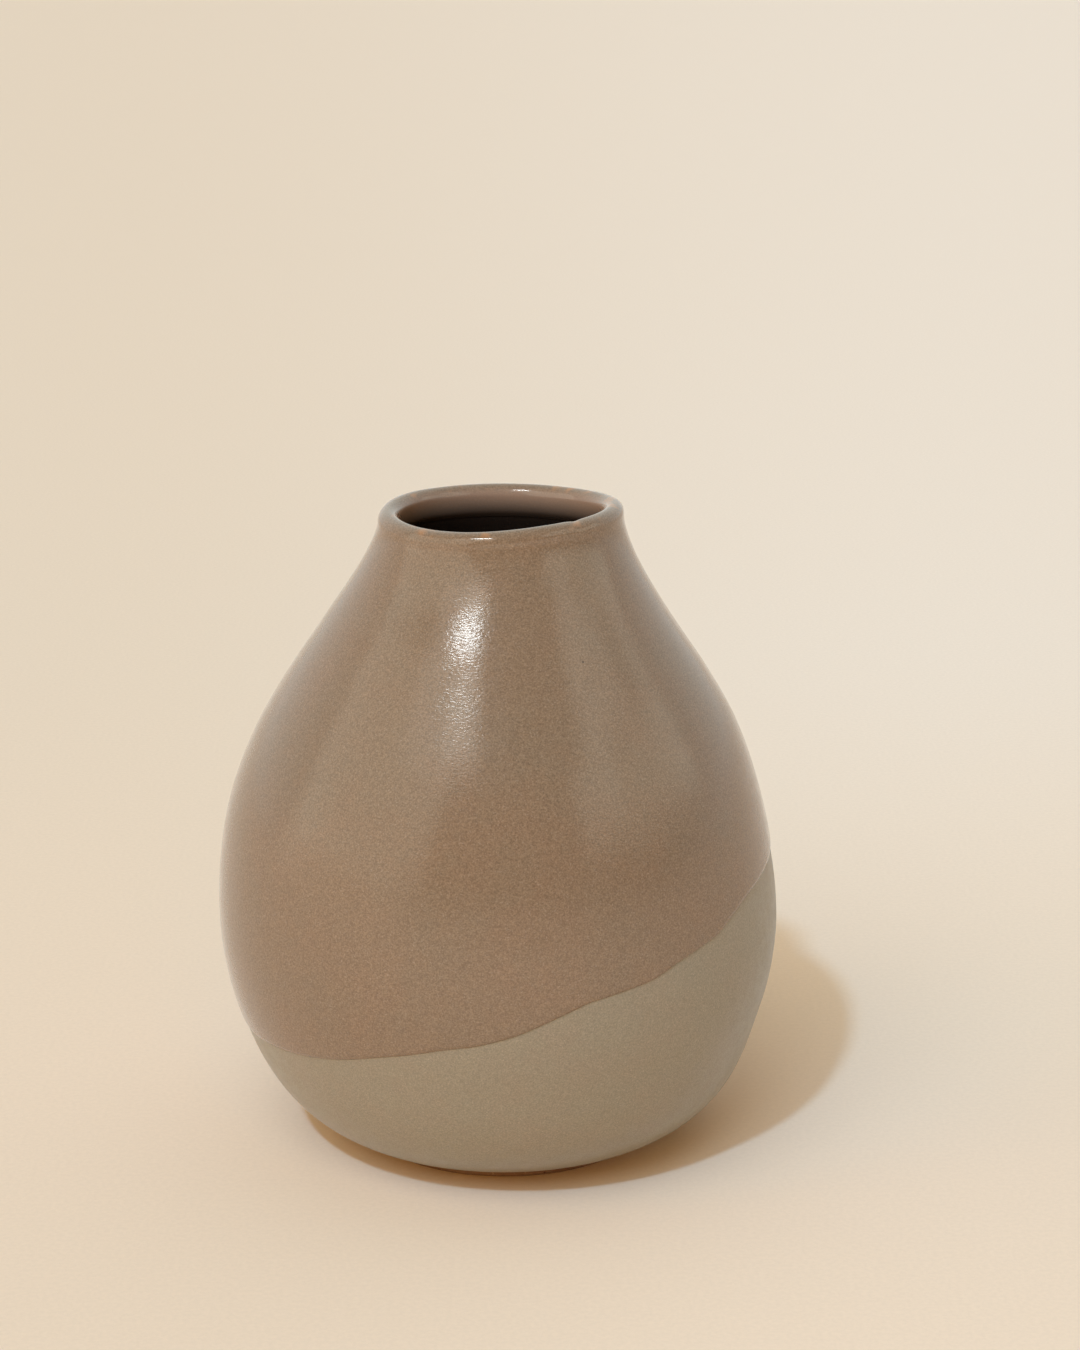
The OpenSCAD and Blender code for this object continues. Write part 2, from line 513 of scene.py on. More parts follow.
class NodeBench:
    """Builds the nodes of one material or world."""

    # Which sockets of a Mix node are its colour ones
    MIX_FACTOR, MIX_A, MIX_B, MIXED = 0, 6, 7, 2

    def __init__(self, owner: bpy.types.Material | bpy.types.World, place: str = "Object") -> None:
        """Clears the owner's nodes.

        Args:
            owner: the material or world.
            place: the coordinates that its patterns follow.
        """
        owner.use_nodes = True
        self.owner = owner
        self.tree = owner.node_tree
        self.tree.nodes.clear()
        self.place = self.add("ShaderNodeTexCoord").outputs[place]

    @classmethod
    def material(cls, name: str) -> "NodeBench":
        """Starts a new material."""
        return cls(bpy.data.materials.new(name))

    def add(self, kind: str, **settings: object) -> bpy.types.Node:
        """Adds a node.

        Args:
            kind: the node's type.
            settings: values of its settings.

        Returns:
            The node.
        """
        node = self.tree.nodes.new(kind)
        for name, value in settings.items():
            setattr(node, name, value)
        return node

    def feed(self, socket: Socket, value: object) -> None:
        """Links a node's output to a socket, or sets the socket to a number or colour.

        Args:
            socket: the socket.
            value: an output, a number, or a colour.
        """
        if isinstance(value, Socket):
            self.tree.links.new(value, socket)
        elif isinstance(value, tuple):
            socket.default_value = (*value, 1) if len(value) == 3 and socket.type == "RGBA" else value
        else:
            socket.default_value = value

    def wired(self, kind: str, output: str | int, inputs: dict[str | int, object],
              **settings: object) -> Socket:
        """Adds a node and feeds it.

        Args:
            kind: the node's type.
            output: the name or number of the output that is wanted.
            inputs: what each input is fed.
            settings: values of the node's settings.

        Returns:
            That output.
        """
        node = self.add(kind, **settings)
        for name, value in inputs.items():
            self.feed(node.inputs[name], value)
        return node.outputs[output]

    def noise(self, size: float, detail: float = 2, rough: float = 0.5, warp: float = 0,
              stretch: Colour = (1, 1, 1)) -> Socket:
        """Adds a noise from 0 to 1 with patches of one size, denser along each axis by its stretch."""
        place = self.wired("ShaderNodeMapping", "Vector", {"Vector": self.place, "Scale": stretch})
        return self.wired("ShaderNodeTexNoise", "Fac", {
            "Vector": place, "Scale": 1 / size, "Detail": detail, "Roughness": rough, "Distortion": warp})

    def part(self, axis: str) -> Socket:
        """Returns one coordinate of the place that the patterns follow."""
        return self.wired("ShaderNodeSeparateXYZ", axis, {"Vector": self.place})

    def way(self, way: Way) -> Socket:
        """Returns a distance that the mesh keeps at its points."""
        return self.add("ShaderNodeAttribute", attribute_name=way.value).outputs["Fac"]

    def ray(self, kind: str) -> Socket:
        """Returns 1 for rays of one kind and 0 for others."""
        return self.add("ShaderNodeLightPath").outputs[kind]

    def fade(self, value: object, start: float, end: float, low: float = 0, high: float = 1) -> Socket:
        """Turns a value into a soft change from low to high, as it goes from start to end."""
        inputs = {"Value": value, "From Min": start, "From Max": end, "To Min": low, "To Max": high}
        return self.wired("ShaderNodeMapRange", "Result", inputs, interpolation_type="SMOOTHSTEP")

    def sum(self, operation: str, a: object, b: object = 0) -> Socket:
        """Works out a Math node's operation on one or two values."""
        return self.wired("ShaderNodeMath", "Value", {0: a, 1: b}, operation=operation)

    def mix(self, factor: object, a: object, b: object, blend: str = "MIX") -> Socket:
        """Mixes two colours, all of the first one at a factor of 0 and all of the second one at 1."""
        inputs = {self.MIX_FACTOR: factor, self.MIX_A: a, self.MIX_B: b}
        return self.wired("ShaderNodeMix", self.MIXED, inputs, data_type="RGBA", blend_type=blend)

    def shaded(self, colour: object, by: Socket) -> Socket:
        """Multiplies a colour by a value."""
        grey = self.wired("ShaderNodeCombineColor", "Color", {"Red": by, "Green": by, "Blue": by})
        return self.mix(1, colour, grey, "MULTIPLY")

    def bump(self, height: object, depth: float, under: Socket | None = None) -> Socket:
        """Adds a relief where a height of 1 stands out by depth, on top of another one if it is given."""
        inputs = {"Distance": depth, "Height": height} | ({} if under is None else {"Normal": under})
        return self.wired("ShaderNodeBump", "Normal", inputs)

    def finish(self, colour: object, roughness: object, normal: object,
               **constants: float) -> bpy.types.Material:
        """Ends the material with its shader.

        Args:
            colour: the surface's colour.
            roughness: its roughness.
            normal: its normal.
            constants: the shader's other sockets, each with one value all over.

        Returns:
            The material.
        """
        inputs = {"Base Color": colour, "Roughness": roughness, "Normal": normal}
        inputs |= {name.replace("_", " "): value for name, value in constants.items()}
        surface = self.wired("ShaderNodeBsdfPrincipled", "BSDF", inputs)
        self.feed(self.add("ShaderNodeOutputMaterial").inputs["Surface"], surface)
        return self.owner


@dataclass(frozen=True)
class Mottle:
    """A soft noise in a surface.

    Attributes:
        size: width of its patches.
        detail: how many finer layers it has.
        rough: how strong those layers are.
        warp: how far it is twisted.
        span: the two heights of the noise between which its value changes.
        low: its value below them.
        high: its value above them.
    """

    size: float
    detail: float = 2
    rough: float = 0.5
    warp: float = 0
    span: Span = (0.3, 0.7)
    low: float = 0
    high: float = 1

    def over(self, bench: NodeBench) -> Socket:
        """Returns its value at each place."""
        noise = bench.noise(self.size, self.detail, self.rough, self.warp)
        return bench.fade(noise, *self.span, self.low, self.high)


@dataclass(frozen=True)
class Tint:
    """A colour that a surface takes on along a way.

    Attributes:
        tone: the colour.
        span: the distances between which its strength changes.
        first: how strong it is before them.
        last: how strong it is past them.
    """

    tone: Colour
    span: Span
    first: float = 0
    last: float = 1

    def over(self, bench: NodeBench, way: Socket, colour: Socket) -> Socket:
        """Returns a colour with the tint over it."""
        return bench.mix(bench.fade(way, *self.span, self.first, self.last), colour, self.tone)


@dataclass(frozen=True)
class Spots:
    """Small round spots scattered over a surface.

    Attributes:
        gap: mean distance between the places for a spot.
        core: radius within which a spot is full.
        brim: radius at which it ends.
        empty: share of the places that have none.
    """

    gap: float
    core: float
    brim: float
    empty: float

    def over(self, bench: NodeBench) -> Socket:
        """Lays out the spots.

        Args:
            bench: the material's nodes.

        Returns:
            1 on a spot, and 0 elsewhere.
        """
        cells = bench.add("ShaderNodeTexVoronoi")
        bench.feed(cells.inputs["Vector"], bench.place)
        bench.feed(cells.inputs["Scale"], 1 / self.gap)
        spot = bench.fade(cells.outputs["Distance"], self.core / self.gap, self.brim / self.gap, 1, 0)
        number = bench.wired("ShaderNodeSeparateColor", "Red", {"Color": cells.outputs["Color"]})
        return bench.sum("MULTIPLY", spot, bench.sum("GREATER_THAN", number, self.empty))


@dataclass(frozen=True)
class Glaze:
    """A fired glaze.

    Attributes:
        name: the material's name.
        tone: its main colour.
        warm: its colour in the warmer clouds.
        cool: its colour in the cooler clouds.
        speck_and_glint: the colour of its fine pale speckles, partly real speckle and partly painted glints.
        clouds: where it is cooler and warmer.
        patches: where it has its main colour.
        grain: its fine grain, as shades.
        specks_and_glints: how strong those speckles and painted glints are.
        smears: its roughness, from glossier to duller smears.
        peel_size: width of the dimples of its orange peel.
        peel_depth: depth of the dimples.
        peel_flat: how many times wider than tall they are.
        edge: its colour where it thins out at its edge.
        holes: its pinholes.
        hole_depth: how deep they are.
        hole_tone: the colour in them.
        hole_share: how strong that colour is.
        bends_light: how strongly it bends light.
    """

    name: str
    tone: Colour
    warm: Colour
    cool: Colour
    speck_and_glint: Colour
    clouds: Mottle = Mottle(16 * MM, detail=3, rough=0.6, warp=0.4, span=(0.35, 0.65))
    patches: Mottle = Mottle(3.2 * MM, rough=0.6, span=(0.4, 0.7))
    grain: Mottle = Mottle(0.28 * MM, rough=0.7, low=0.75, high=1.25)
    specks_and_glints: Mottle = Mottle(0.23 * MM, detail=0, span=(0.62, 0.78), high=0.24)
    smears: Mottle = Mottle(2.4 * MM, detail=3, rough=0.6, low=0.12, high=0.18)
    peel_size: float = 0.58 * MM
    peel_depth: float = 0.032 * MM
    peel_flat: float = 2.5
    edge: Tint = Tint((0.13, 0.075, 0.04), (0, 0.6 * MM), first=0.05, last=0)
    holes: Spots = Spots(gap=7 * MM, core=0.14 * MM, brim=0.26 * MM, empty=0.95)
    hole_depth: float = 0.06 * MM
    hole_tone: Colour = (0.05, 0.035, 0.025)
    hole_share: float = 0.75
    bends_light: float = 1.52

    def colour(self, bench: NodeBench) -> Socket:
        """Builds the glaze's clouds, patches, grain, and pale speckles that are partly painted glints.

        Args:
            bench: the material's nodes.

        Returns:
            The colour.
        """
        clouds = bench.mix(self.clouds.over(bench), self.cool, self.warm)
        colour = bench.mix(self.patches.over(bench), clouds, self.tone)
        colour = bench.shaded(colour, self.grain.over(bench))
        # The pale speckles are partly the glaze's own and partly painted glints.
        return bench.mix(self.specks_and_glints.over(bench), colour, self.speck_and_glint)

    def surface(self, bench: NodeBench) -> tuple[Socket, Socket]:
        """Returns the glaze's roughness, and the height of the dimples of its orange peel."""
        dimples = bench.noise(self.peel_size, 1.5, 0.45, 0.25, (1, 1, self.peel_flat))
        return self.smears.over(bench), dimples

    def material(self) -> bpy.types.Material:
        """Makes the glaze's material.

        Returns:
            The material.
        """
        bench = NodeBench.material(self.name)
        colour = self.edge.over(bench, bench.way(Way.EDGE), self.colour(bench))
        holes = self.holes.over(bench)
        colour = bench.mix(bench.sum("MULTIPLY", holes, self.hole_share), colour, self.hole_tone)
        roughness, dimples = self.surface(bench)
        peel = bench.bump(dimples, self.peel_depth)
        dents = bench.bump(bench.sum("SUBTRACT", 1, holes), self.hole_depth, peel)
        return bench.finish(colour, roughness, dents, IOR=self.bends_light)


@dataclass(frozen=True)
class RimGlaze(Glaze):
    """A glaze that runs over the rim's crest and breaks there, with painted light just inside the crest and
    painted shade further down the throat.

    Each span says how far from the crest a change starts and ends.

    Attributes:
        break_tone: its colour where it breaks.
        breaks: how strong that colour is.
        break_span: where it fades out.
        throat: a paler, greyer colour just inside the crest, partly the glaze's own over the liner and
            partly painted light on the lit throat wall.
        inner: painted shade, a near-black colour that the glaze takes on further down, where the inside of
            the pot lies in shade.
        calm_span: where its calmer surface on the crest turns into its usual one.
        calm_peel: how deep the dimples are on the crest, as a share.
        calm_gloss: how rough it is there, as a share.
    """

    break_tone: Colour = (0.42, 0.215, 0.09)
    breaks: Mottle = Mottle(5 * MM, rough=0.6, span=(0.52, 0.66), high=0.7)
    break_span: Span = (0.4 * MM, 1.6 * MM)
    # Painted light: a paler band just inside the crest, partly the glaze's own colour.
    throat: Tint = Tint((0.42, 0.31, 0.235), (0.4 * MM, 1.8 * MM), last=0.7)
    # Painted shade: near-black further down the throat.
    inner: Tint = Tint((0.015, 0.011, 0.008), (0.2 * MM, 5.6 * MM))
    calm_span: Span = (1 * MM, 5 * MM)
    calm_peel: float = 0.15
    calm_gloss: float = 0.5

    def colour(self, bench: NodeBench) -> Socket:
        """Adds the breaks on the crest, and the painted light and painted shade in the throat, to the
        glaze's own colour.

        Args:
            bench: the material's nodes.

        Returns:
            The colour.
        """
        way = bench.way(Way.CREST)
        crest = bench.fade(bench.sum("ABSOLUTE", way), *self.break_span, 1, 0)
        breaks = bench.sum("MULTIPLY", crest, self.breaks.over(bench))
        colour = bench.mix(breaks, super().colour(bench), self.break_tone)
        # Painted light just inside the crest, then painted shade further down the throat.
        return self.inner.over(bench, way, self.throat.over(bench, way, colour))

    def surface(self, bench: NodeBench) -> tuple[Socket, Socket]:
        """Calms the glaze's surface on the crest.

        Args:
            bench: the material's nodes.

        Returns:
            The roughness, and the dimples' height.
        """
        from_crest = bench.sum("ABSOLUTE", bench.way(Way.CREST))
        shares = zip(super().surface(bench), (self.calm_gloss, self.calm_peel))
        roughness, dimples = (
            bench.sum("MULTIPLY", value, bench.fade(from_crest, *self.calm_span, share, 1))
            for value, share in shares
        )
        return roughness, dimples


@dataclass(frozen=True)
class BareClay:
    """Unglazed fired stoneware, with grains of grog and spots of iron.

    Attributes:
        tone: its main colour, a dark brown that is partly the clay's own and partly painted shade for the
            shaded foot.
        flashed: its colour where the kiln has flashed it.
        flashes: how strongly it is flashed.
        grog: the colour of the pale grains in it.
        grains: how strong they are.
        iron: the colour of the dark spots in it.
        spots: the dark spots.
        smears: its roughness.
        grit_size: width of its fine grit.
        grit_depth: how deep the grit is.
    """

    # Painted shade, in part: the dark brown tone also stands in for the shade at the foot.
    tone: Colour = (0.20, 0.132, 0.08)
    flashed: Colour = (0.15, 0.092, 0.052)
    flashes: Mottle = Mottle(9 * MM, detail=3, rough=0.6, warp=0.3, span=(0.35, 0.7))
    grog: Colour = (0.34, 0.26, 0.18)
    grains: Mottle = Mottle(0.6 * MM, detail=1, span=(0.6, 0.75), high=0.5)
    iron: Colour = (0.06, 0.038, 0.025)
    spots: Spots = Spots(gap=1.6 * MM, core=0.128 * MM, brim=0.256 * MM, empty=0.7)
    smears: Mottle = Mottle(1.2 * MM, detail=3, low=0.78, high=0.92)
    grit_size: float = 0.35 * MM
    grit_depth: float = 0.05 * MM

    def material(self) -> bpy.types.Material:
        """Makes the clay's material.

        Returns:
            The material.
        """
        bench = NodeBench.material("bare_clay")
        colour = bench.mix(self.flashes.over(bench), self.tone, self.flashed)
        colour = bench.mix(self.grains.over(bench), colour, self.grog)
        colour = bench.mix(self.spots.over(bench), colour, self.iron)
        grit = bench.bump(bench.noise(self.grit_size, detail=3, rough=0.7), self.grit_depth)
        return bench.finish(colour, self.smears.over(bench), grit)


@dataclass(frozen=True)
class Paper:
    """Seamless studio paper, with painted light that makes it a little paler further back and to the right.

    Attributes:
        near: its colour in front of the vase, on the left.
        near_right: its colour in front of the vase, on the right.
        left: its colour behind the vase, on the left.
        right: its colour behind the vase, on the right.
        near_way: how far back the near colour lasts.
        far_way: where the colours of the back are reached.
        swing: how far to either side the left and right colours are reached, as a share
            of the distance back from the paper's front end.
        front: how far in front of the vase the paper's front end lies.
        mirrored: a paler colour that only the glaze's reflections see, a painted reflection of light on the
            paper.
        fibres: its fibres, as shades.
        tooth_size: width of its fine relief.
        tooth_depth: how deep that relief is.
        roughness: its roughness.
        sheen: how strong its sheen is.
    """

    near: Colour = (0.815, 0.674, 0.516)
    near_right: Colour = (0.847, 0.707, 0.549)
    left: Colour = (0.785, 0.668, 0.522)
    right: Colour = (0.840, 0.752, 0.635)
    near_way: float = 0.0
    far_way: float = 0.35
    swing: float = 0.16
    front: float = 0.5
    mirrored: Colour = (0.98, 0.86, 0.72)
    fibres: Mottle = Mottle(0.9 * MM, detail=3, rough=0.7, low=0.975, high=1.02)
    tooth_size: float = 1.1 * MM
    tooth_depth: float = 0.03 * MM
    roughness: float = 0.85
    sheen: float = 0.2

    def material(self) -> bpy.types.Material:
        """Makes the paper's material.

        Returns:
            The material.
        """
        bench = NodeBench.material("studio_paper")
        back = bench.fade(bench.part("Y"), self.near_way, self.far_way)
        depth = bench.sum("MAXIMUM", bench.sum("ADD", bench.part("Y"), self.front), self.front / 4)
        across = bench.fade(bench.sum("DIVIDE", bench.part("X"), depth), -self.swing, self.swing)
        near = bench.mix(across, self.near, self.near_right)
        # Painted light: the paper grows paler further back and to the right, as the light falls across it.
        colour = bench.mix(back, near, bench.mix(across, self.left, self.right))
        colour = bench.shaded(colour, self.fibres.over(bench))
        # Painted reflection: glossy rays see the paper paler than the camera does.
        colour = bench.mix(bench.ray("Is Glossy Ray"), colour, self.mirrored)
        tooth = bench.bump(bench.noise(self.tooth_size, detail=3, rough=0.6), self.tooth_depth)
        return bench.finish(colour, self.roughness, tooth, Specular_IOR_Level=self.sheen)


@dataclass
class BudVase:
    """The whole vase.

    Attributes:
        form: its true turned form.
        hand: how it strays from that form.
        dip: the line down to which it was dipped.
        base_coat: thickness of the sage glaze.
        liner_coat: thickness of the liner glaze.
        dip_coat: thickness of the taupe glaze.
        coat_edge: how far the sage glaze takes to thin out above the foot.
        bead: how far the taupe glaze's rounded edge reaches in.
        ridge: how much thicker the taupe glaze is just inside its edge, as a share.
        sunk: how far the hidden face of the taupe glaze lies inside the sage glaze.
        taper: how far the taupe glaze takes to thin out in the throat.
        near_edge: how far in from the dip line the rings lie close together.
        near_crest: how far below the crest they do outside.
        in_throat: how far below the crest they do inside.
        hidden_skip: rings of a face of the liner or sage glaze for each ring of its hidden face.
        dip_hidden_skip: the same for the taupe glaze.
        recess_rings: rings in the foot's recess.
        line_pitch: distance between the turning lines there.
        line_depth: depth of those lines.
        nub_w: width of the soft nub that the tool left in the middle.
        nub: how far the nub stands out.
    """

    form: ThrownForm = field(default_factory=ThrownForm)
    hand: Hand = field(default_factory=Hand)
    dip: DipLine = field(default_factory=DipLine)
    base_coat: float = 0.35 * MM
    liner_coat: float = 0.35 * MM
    dip_coat: float = 0.3 * MM
    coat_edge: float = 1.6 * MM
    bead: float = 0.9 * MM
    ridge: float = 0.03
    sunk: float = 0.05 * MM
    taper: float = 1.2 * MM
    near_edge: float = 3 * MM
    near_crest: float = 9 * MM
    in_throat: float = 6 * MM
    hidden_skip: int = 3
    dip_hidden_skip: int = 4
    recess_rings: int = 60
    line_pitch: float = 1.5 * MM
    line_depth: float = 0.04 * MM
    nub_w: float = 3 * MM
    nub: float = 0.08 * MM

    def __post_init__(self) -> None:
        """Works out the paths and directions that all the pieces share."""
        self.turns = np.arange(COLUMNS) * ROUND / COLUMNS
        self.out_path = self.form.outside()
        self.in_path = self.form.inside()
        self.out_length = self.out_path.length()
        self.rim_way = pi / 4 * self.form.rim_t

    def shell(self, name: str, profile: np.ndarray, poles: tuple[float, ...] = (),
              ways: dict[Way, np.ndarray] | None = None) -> bpy.types.Object:
        """Turns a profile into a piece of the thrown pot.

        Args:
            name: the piece's name.
            profile: radius and height of its rings.
            poles: heights of the points on the axis that close its ends, if any.
            ways: distances to keep at its points.

        Returns:
            The piece.
        """
        rings = self.hand.shape(turned(profile, self.turns), self.form)
        ends = [self.hand.shape(np.array([0, 0, height]), self.form) for height in poles]
        return Shell(name, rings, tuple(tuple(end.tolist()) for end in ends), ways or {}).build()

    def outside_rings(self, start: float, steps: int) -> tuple[tuple[float, float, int], ...]:
        """Returns stretches of rings from a place on the outside up to the crest."""
        neck = self.out_length - self.near_crest
        return (start, neck, steps), (neck, self.out_length, 24)

    def inside_rings(self, near_steps: int, steps: int) -> np.ndarray:
        """Lays out rings from the crest down the inside to the floor."""
        end = self.in_path.length() - self.form.rim_t
        return stations((0, self.in_throat, near_steps), (self.in_throat, end, steps))

    def sage_thickness(self, at: np.ndarray) -> np.ndarray:
        """Returns the sage glaze's thickness at places along the outside."""
        way = np.clip(at / self.coat_edge, 0, 1)
        return self.base_coat * np.sqrt(1 - (1 - way) ** 2)

    def clay_pot(self) -> bpy.types.Object:
        """Builds the fired clay, with its turned foot.

        Returns:
            The piece.
        """
        form = self.form
        inner, outer = form.foot_d / 2 - form.foot_w, form.foot_d / 2
        centre = form.recess_h + form.recess_dish
        corners = [(inner, form.recess_h), (inner, form.foot_bevel), (inner + form.foot_bevel, 0),
                   (outer - form.foot_bevel, 0), (outer, form.foot_bevel), (outer, form.foot_h)]
        dish = np.linspace(form.rim_t / 2, inner, self.recess_rings, endpoint=False)
        lines = self.line_depth * np.sin(ROUND * dish / self.line_pitch)
        lines = lines + self.nub * np.exp(-(dish / self.nub_w) ** 2)
        fall = centre - form.recess_dish * dish / inner
        ring = self.softened(np.array(corners), form.foot_bevel / 2)
        outside = self.out_path.raised(stations(*self.outside_rings(0, 62)), 0)
        inside = self.in_path.raised(self.inside_rings(20, 52), 0)
        profile = np.concatenate([np.column_stack([dish, fall - lines]), ring, outside[1:], inside[1:]])
        return self.shell("clay_pot", profile, (centre, form.floor_z))

    @staticmethod
    def softened(corners: np.ndarray, radius: float, steps: int = 5) -> np.ndarray:
        """Rounds the corners of an outline.

        Args:
            corners: the outline's points.
            radius: how far from each corner the rounding starts.
            steps: points in each rounding.

        Returns:
            The rounded outline, with its first and last points as they were.
        """
        points = [corners[:1]]
        t = np.linspace(0, 1, steps)[:, None]
        for before, corner, after in zip(corners, corners[1:], corners[2:]):
            start = corner + (before - corner) * min(radius / np.linalg.norm(before - corner), 0.5)
            end = corner + (after - corner) * min(radius / np.linalg.norm(after - corner), 0.5)
            points.append((1 - t) ** 2 * start + 2 * t * (1 - t) * corner + t * t * end)
        return np.concatenate(points + [corners[-1:]])

    def liner(self) -> bpy.types.Object:
        """Builds the liner glaze, from the rim's crest down over the whole inside.

        Returns:
            The piece.
        """
        at = self.inside_rings(30, 90)
        over = self.in_path.raised(at, self.liner_coat)
        profile = np.concatenate([self.in_path.raised(at[::-self.hidden_skip], 0), over])
        floor = self.form.floor_z
        far = np.full((len(profile), 1), self.form.pot_h)
        return self.shell("liner_coat", profile, (floor, floor + self.liner_coat), {Way.EDGE: far})

    def sage(self) -> bpy.types.Object:
        """Builds the sage glaze, from its edge above the foot up to the rim's crest.

        Returns:
            The piece.
        """
        at = stations((0, self.coat_edge, 10), *self.outside_rings(self.coat_edge, 110))
        back = at[:0:-self.hidden_skip]
        over = self.out_path.raised(at, self.sage_thickness(at))
        under = self.out_path.raised(back, 0)
        edge = np.concatenate([at, back])[:, None]
        return self.shell("sage_coat", np.concatenate([over, under]), ways={Way.EDGE: edge})

    def taupe(self) -> bpy.types.Object:
        """Builds the taupe glaze, from the dip line up over the rim and into the throat.

        Returns:
            The piece.
        """
        whole = Path.joined(self.out_path, self.in_path)
        start = self.dip.ways(self.out_path, self.turns)[None, :]
        crest = self.out_length
        end = crest + self.rim_way + self.form.throat_h + self.taper
        neck = crest - self.near_crest
        near = start + stations((0, self.bead, 8), (self.bead, self.near_edge, 6))[:, None]
        middle = near[-1:] + (neck - near[-1:]) * stations((0, 1, 84))[1:, None]
        top = np.repeat(stations((neck, crest, 26), (crest, end, 30))[1:, None], COLUMNS, axis=1)
        at = np.concatenate([near, middle, top])
        over = whole.raised(at, self.sage_thickness(at) + self.taupe_thickness(at - start, end - at))
        back = at[-1:0:-self.dip_hidden_skip]
        hidden = np.minimum(self.sunk, self.sunk * (back - start) / self.bead)
        under = whole.raised(back, self.sage_thickness(back) - hidden)
        ways = np.concatenate([at, back])
        kept = {Way.EDGE: ways - start, Way.CREST: ways - crest}
        return self.shell("taupe_coat", np.concatenate([over, under]), ways=kept)

    def taupe_thickness(self, from_edge: np.ndarray, to_end: np.ndarray) -> np.ndarray:
        """Finds the taupe glaze's thickness.

        Args:
            from_edge: how far points lie from the dip line.
            to_end: how far they lie from the glaze's end in the throat.

        Returns:
            The thickness at each point.
        """
        rounding = np.sqrt(1 - (1 - np.clip(from_edge / self.bead, 0, 1)) ** 2)
        roll = 1 + self.ridge * np.exp(-((from_edge - 2 * self.bead) / self.bead) ** 2 / 2)
        return self.dip_coat * rounding * roll * smooth_step(0, self.taper, to_end)


@dataclass(frozen=True)
class Dressing:
    """What a piece stands for and how it is finished.

    Attributes:
        node: the solid that the piece stands for.
        slot: the record's material slot, which is not used.
        finish: the piece's finish.
    """

    node: str
    slot: Slot
    finish: Glaze | BareClay

    def put_on(self, piece: bpy.types.Object) -> None:
        """Finishes a piece and ties it to its solid.

        Args:
            piece: the piece.
        """
        piece.data.materials.append(self.finish.material())
        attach(piece, "root")
        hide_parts(self.node)
        LOG.info("%s: %d faces, stands for %s", piece.name, len(piece.data.polygons), self.node)


SAGE_GLAZE = Glaze(
    "sage_glaze",
    tone=(0.247, 0.226, 0.166),
    warm=(0.254, 0.224, 0.165),
    cool=(0.243, 0.225, 0.167),
    speck_and_glint=(0.40, 0.36, 0.28),
    grain=replace(Glaze.grain, low=0.83, high=1.17),
    specks_and_glints=replace(Glaze.specks_and_glints, high=0.4),
    smears=replace(Glaze.smears, low=0.34, high=0.42),
    peel_size=0.45 * MM,
    peel_depth=0.012 * MM,
    edge=replace(Glaze.edge, tone=(0.20, 0.12, 0.06), span=(0, 1.2 * MM)),
)
TAUPE_GLAZE = RimGlaze(
    "taupe_glaze",
    tone=(0.203, 0.149, 0.0965),
    warm=(0.208, 0.148, 0.095),
    cool=(0.197, 0.149, 0.0985),
    speck_and_glint=(0.40, 0.34, 0.27),
)
# Painted shade: the liner's near-black colours stand in for the deep shade inside the pot.
LINER_GLAZE = Glaze(
    "liner_glaze",
    tone=(0.015, 0.011, 0.008),
    warm=(0.017, 0.011, 0.008),
    cool=(0.013, 0.010, 0.008),
    speck_and_glint=(0.03, 0.022, 0.016),
    edge=replace(Glaze.edge, first=0),
)


class Seen(Enum):
    """What a lamp is for."""

    LIGHT = "light"
    MIRRORED = "mirrored"


def direction(turn: float, rise: float) -> Vector:
    """Returns a one-unit direction from degrees of turn, from +X towards +Y, and degrees above level."""
    level = cos(radians(rise))
    return Vector((level * cos(radians(turn)), level * sin(radians(turn)), sin(radians(rise))))


@dataclass(frozen=True)
class Lamp:
    """A lamp in a direction from the vase.

    Attributes:
        name: its name.
        turn: its direction, in degrees from +X towards +Y.
        rise: its height above level, in degrees.
    """

    name: str
    turn: float
    rise: float

    def off(self) -> Vector:
        """Returns the direction from the vase to the lamp, one unit long."""
        return direction(self.turn, self.rise)

    def link(self, data: bpy.types.Light, seen: Seen) -> bpy.types.Object:
        """Puts the lamp in the scene.

        Args:
            data: its settings.
            seen: whether it lights surfaces or is only mirrored in them.

        Returns:
            Its holder, turned to face the vase.
        """
        holder = bpy.data.objects.new(self.name, data)
        holder.rotation_euler = self.off().to_track_quat("Z", "Y").to_euler()
        holder.visible_diffuse = seen is Seen.LIGHT
        holder.visible_glossy = seen is Seen.MIRRORED
        bpy.context.scene.collection.objects.link(holder)
        LOG.info("lamp %s", self.name)
        return holder


@dataclass(frozen=True)
class FarLight(Lamp):
    """Light from far away, such as a window's or a pale wall's.

    Attributes:
        spread: how wide it looks from the vase, in degrees.
        share: how much of the light on the level paper it gives, for each colour.
    """

    spread: float
    share: Colour

    def place(self) -> None:
        """Puts the light in the scene."""
        data = bpy.data.lights.new(self.name, "SUN")
        data.angle = radians(self.spread)
        data.energy = pi / sin(radians(self.rise))
        data.color = self.share
        self.link(data, Seen.LIGHT)


@dataclass(frozen=True)
class Card(Lamp):
    """A pale card that the glaze mirrors.

    Attributes:
        across: how wide it looks from the vase, in degrees.
        tall: how tall it looks from the vase, in degrees.
        glow: how bright it is, where a white wall in plain light is 1.
        colour: its colour.
        away: its distance from the vase.
        power: watts that one square metre of it takes for a glow of 1.
    """

    across: float
    tall: float
    glow: float
    colour: Colour = (1, 1, 1)
    away: float = 1.2
    power: float = 4

    def place(self, aim: Vector) -> None:
        """Puts the card in the scene.

        Args:
            aim: the point that it faces.
        """
        data = bpy.data.lights.new(self.name, "AREA")
        data.shape = "RECTANGLE"
        data.size = 2 * self.away * tan(radians(self.across) / 2)
        data.size_y = 2 * self.away * tan(radians(self.tall) / 2)
        data.color = self.colour
        data.energy = self.power * self.glow * data.size * data.size_y
        self.link(data, Seen.MIRRORED).location = aim + self.off() * self.away


